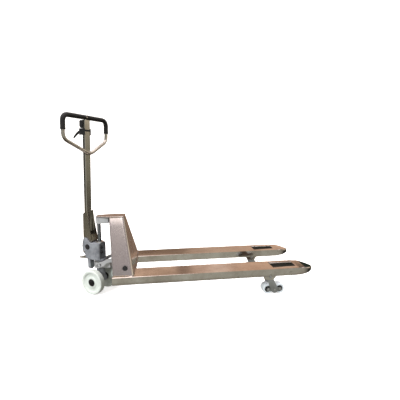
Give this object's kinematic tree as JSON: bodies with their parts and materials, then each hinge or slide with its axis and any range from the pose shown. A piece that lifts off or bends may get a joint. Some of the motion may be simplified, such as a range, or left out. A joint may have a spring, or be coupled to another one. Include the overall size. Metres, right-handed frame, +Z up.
{
  "type": "pallet jack",
  "caption": "Hand pallet jack with a steered hydraulic pump unit, a drawbar with a loop handle, a lifting frame with two forks, and tandem load rollers.",
  "frame": {"origin": "on the floor, at the middle of the overall length and width", "axes": "+X along the forks to their tips, +Y to the left of someone facing the tips, +Z up"},
  "size_m": [1.5473, 0.546, 1.1441],
  "materials": {
    "fork_steel": "satin stainless sheet",
    "steel": "satin stainless",
    "cast": "blasted, pale grey",
    "bright": "polished",
    "dark": "blackened",
    "rubber": "matt black",
    "nylon": "white nylon"
  },
  "bodies": {
    "chassis": {"fork_left": "fork_steel", "fork_right": "fork_steel", "hanger_pin_left": "bright", "hanger_pin_right": "bright", "housing_shell": "steel", "top_plate": "steel", "ram_seat": "cast", "cross_plate": "steel", "ram_rod": "bright", "rocker_shaft": "dark"},
    "rocker": {"rocker_arm": "cast"},
    "carrier": {"swivel_carrier": "cast"},
    "pump": {"thrust_bearing": "bright", "pump_body": "cast", "gland_nut": "bright", "ram_seal": "rubber", "wheel_axle": "bright", "axle_ring_left": "bright", "axle_ring_right": "bright", "plunger_spring": "bright", "pivot_pin": "dark", "filler_plug": "dark"},
    "wheel_left": {"steer_wheel_left": "nylon", "wheel_bearing_left": "dark"},
    "wheel_right": {"steer_wheel_right": "nylon", "wheel_bearing_right": "dark"},
    "plunger": {"pump_plunger": "bright"},
    "release_arm": {"release_arm": "bright"},
    "drawbar": {"handle_yoke": "steel", "cam_pin": "dark", "drawbar_tube": "steel", "handle_loop": "steel", "grip_left": "rubber", "grip_right": "rubber", "lever_housing": "rubber", "lever_bracket": "dark", "lever_pin": "bright"},
    "cam_roller": {"cam_roller": "bright"},
    "lever": {"control_lever": "rubber"},
    "release_rod": {"release_rod": "bright"},
    "pushrod_left": {"pushrod_left": "steel"},
    "bracket_left": {"roller_bracket_left": "steel"},
    "bogie_pin_left": {"bogie_pin_left": "bright"},
    "bogie_left": {"bogie_frame_left": "steel", "roller_axle_left_rear": "bright", "roller_axle_left_front": "bright"},
    "roller_left_rear": {"load_roller_left_rear": "nylon", "roller_bearing_left_rear": "dark"},
    "roller_left_front": {"load_roller_left_front": "nylon", "roller_bearing_left_front": "dark"},
    "pushrod_right": {"pushrod_right": "steel"},
    "bracket_right": {"roller_bracket_right": "steel"},
    "bogie_pin_right": {"bogie_pin_right": "bright"},
    "bogie_right": {"bogie_frame_right": "steel", "roller_axle_right_rear": "bright", "roller_axle_right_front": "bright"},
    "roller_right_rear": {"load_roller_right_rear": "nylon", "roller_bearing_right_rear": "dark"},
    "roller_right_front": {"load_roller_right_front": "nylon", "roller_bearing_right_front": "dark"}
  },
  "joints": [
    {"name": "lift", "type": "slide", "parent": "chassis", "child": "carrier", "axis": [0, 0, 1], "range_m": [-0.008, 0.098]},
    {"name": "steer", "type": "hinge", "parent": "carrier", "child": "pump", "pos_m": [-0.608, 0, 0.2], "axis": [0, 0, 1], "range_deg": [-59.3, 120.7]},
    {"name": "wheel_left_spin", "type": "hinge", "parent": "pump", "child": "wheel_left", "pos_m": [-0.58102, 0.06306, 0.08], "axis": [0.5105, 0.8599, 0], "continuous": true},
    {"name": "wheel_right_spin", "type": "hinge", "parent": "pump", "child": "wheel_right", "pos_m": [-0.65046, -0.05388, 0.08], "axis": [0.5105, 0.8599, 0], "continuous": true},
    {"name": "handle", "type": "hinge", "parent": "pump", "child": "drawbar", "pos_m": [-0.66819, 0.03574, 0.299], "axis": [-0.5105, -0.8599, 0], "range_deg": [0, 80]},
    {"name": "plunger_stroke", "type": "slide", "parent": "pump", "child": "plunger", "axis": [0, 0, -1], "range_m": [0, 0.0298], "deforming": ["plunger_spring"]},
    {"name": "cam_roller_spin", "type": "hinge", "parent": "drawbar", "child": "cam_roller", "pos_m": [-0.68282, 0.04442, 0.31448], "axis": [0.5105, 0.8599, 0], "continuous": true},
    {"name": "lever_squeeze", "type": "hinge", "parent": "drawbar", "child": "lever", "pos_m": [-0.68269, 0.04435, 1.05028], "axis": [0.5105, 0.8599, 0], "range_deg": [-12, 18], "stiffness_Nm_per_rad": 4},
    {"name": "release_rod_slide", "type": "slide", "parent": "drawbar", "child": "release_rod", "axis": [0.0345, -0.0205, 0.9992], "range_m": [-0.0075, 0.005]},
    {"name": "release_arm_turn", "type": "hinge", "parent": "pump", "child": "release_arm", "pos_m": [-0.71019, 0.0316, 0.225], "axis": [0.5105, 0.8599, 0], "range_deg": [-12.5, 18.5]},
    {"name": "rocker_turn", "type": "hinge", "parent": "chassis", "child": "rocker", "pos_m": [-0.427, 0, 0.224], "axis": [0, 1, 0], "range_deg": [-3, 31]},
    {"name": "pushrod_left_slide", "type": "slide", "parent": "chassis", "child": "pushrod_left", "axis": [1, 0, 0], "range_m": [-0.038, 0.004]},
    {"name": "bracket_left_turn", "type": "hinge", "parent": "chassis", "child": "bracket_left", "pos_m": [0.466, 0.195, 0.132], "axis": [0, 1, 0], "range_deg": [-66.5, 6]},
    {"name": "bogie_left_level", "type": "hinge", "parent": "bracket_left", "child": "bogie_pin_left", "pos_m": [0.509, 0.195, 0.0315], "axis": [0, 1, 0], "range_deg": [-6, 66.5]},
    {"name": "bogie_left_rock", "type": "hinge", "parent": "bogie_pin_left", "child": "bogie_left", "pos_m": [0.509, 0.195, 0.0315], "axis": [0, 1, 0], "range_deg": [-10, 10]},
    {"name": "roller_left_rear_spin", "type": "hinge", "parent": "bogie_left", "child": "roller_left_rear", "pos_m": [0.4695, 0.195, 0.0315], "axis": [0, 1, 0], "continuous": true},
    {"name": "roller_left_front_spin", "type": "hinge", "parent": "bogie_left", "child": "roller_left_front", "pos_m": [0.5485, 0.195, 0.0315], "axis": [0, 1, 0], "continuous": true},
    {"name": "pushrod_right_slide", "type": "slide", "parent": "chassis", "child": "pushrod_right", "axis": [1, 0, 0], "range_m": [-0.038, 0.004]},
    {"name": "bracket_right_turn", "type": "hinge", "parent": "chassis", "child": "bracket_right", "pos_m": [0.466, -0.195, 0.132], "axis": [0, 1, 0], "range_deg": [-66.5, 6]},
    {"name": "bogie_right_level", "type": "hinge", "parent": "bracket_right", "child": "bogie_pin_right", "pos_m": [0.509, -0.195, 0.0315], "axis": [0, 1, 0], "range_deg": [-6, 66.5]},
    {"name": "bogie_right_rock", "type": "hinge", "parent": "bogie_pin_right", "child": "bogie_right", "pos_m": [0.509, -0.195, 0.0315], "axis": [0, 1, 0], "range_deg": [-10, 10]},
    {"name": "roller_right_rear_spin", "type": "hinge", "parent": "bogie_right", "child": "roller_right_rear", "pos_m": [0.4695, -0.195, 0.0315], "axis": [0, 1, 0], "continuous": true},
    {"name": "roller_right_front_spin", "type": "hinge", "parent": "bogie_right", "child": "roller_right_front", "pos_m": [0.5485, -0.195, 0.0315], "axis": [0, 1, 0], "continuous": true}
  ],
  "couplings": [
    {"joint": "plunger_stroke", "follows": "handle", "m_per_rad": 0.0212},
    {"joint": "release_rod_slide", "follows": "lever_squeeze", "m_per_rad": -0.0235},
    {"joint": "release_arm_turn", "follows": "lever_squeeze", "ratio": 1},
    {"joint": "rocker_turn", "follows": "lift", "rad_per_m": 5.3624},
    {"joint": "pushrod_left_slide", "follows": "lift", "ratio": -0.38163},
    {"joint": "bracket_left_turn", "follows": "lift", "rad_per_m": -11.669},
    {"joint": "bogie_left_level", "follows": "lift", "rad_per_m": 11.669},
    {"joint": "pushrod_right_slide", "follows": "lift", "ratio": -0.38163},
    {"joint": "bracket_right_turn", "follows": "lift", "rad_per_m": -11.669},
    {"joint": "bogie_right_level", "follows": "lift", "rad_per_m": 11.669}
  ]
}
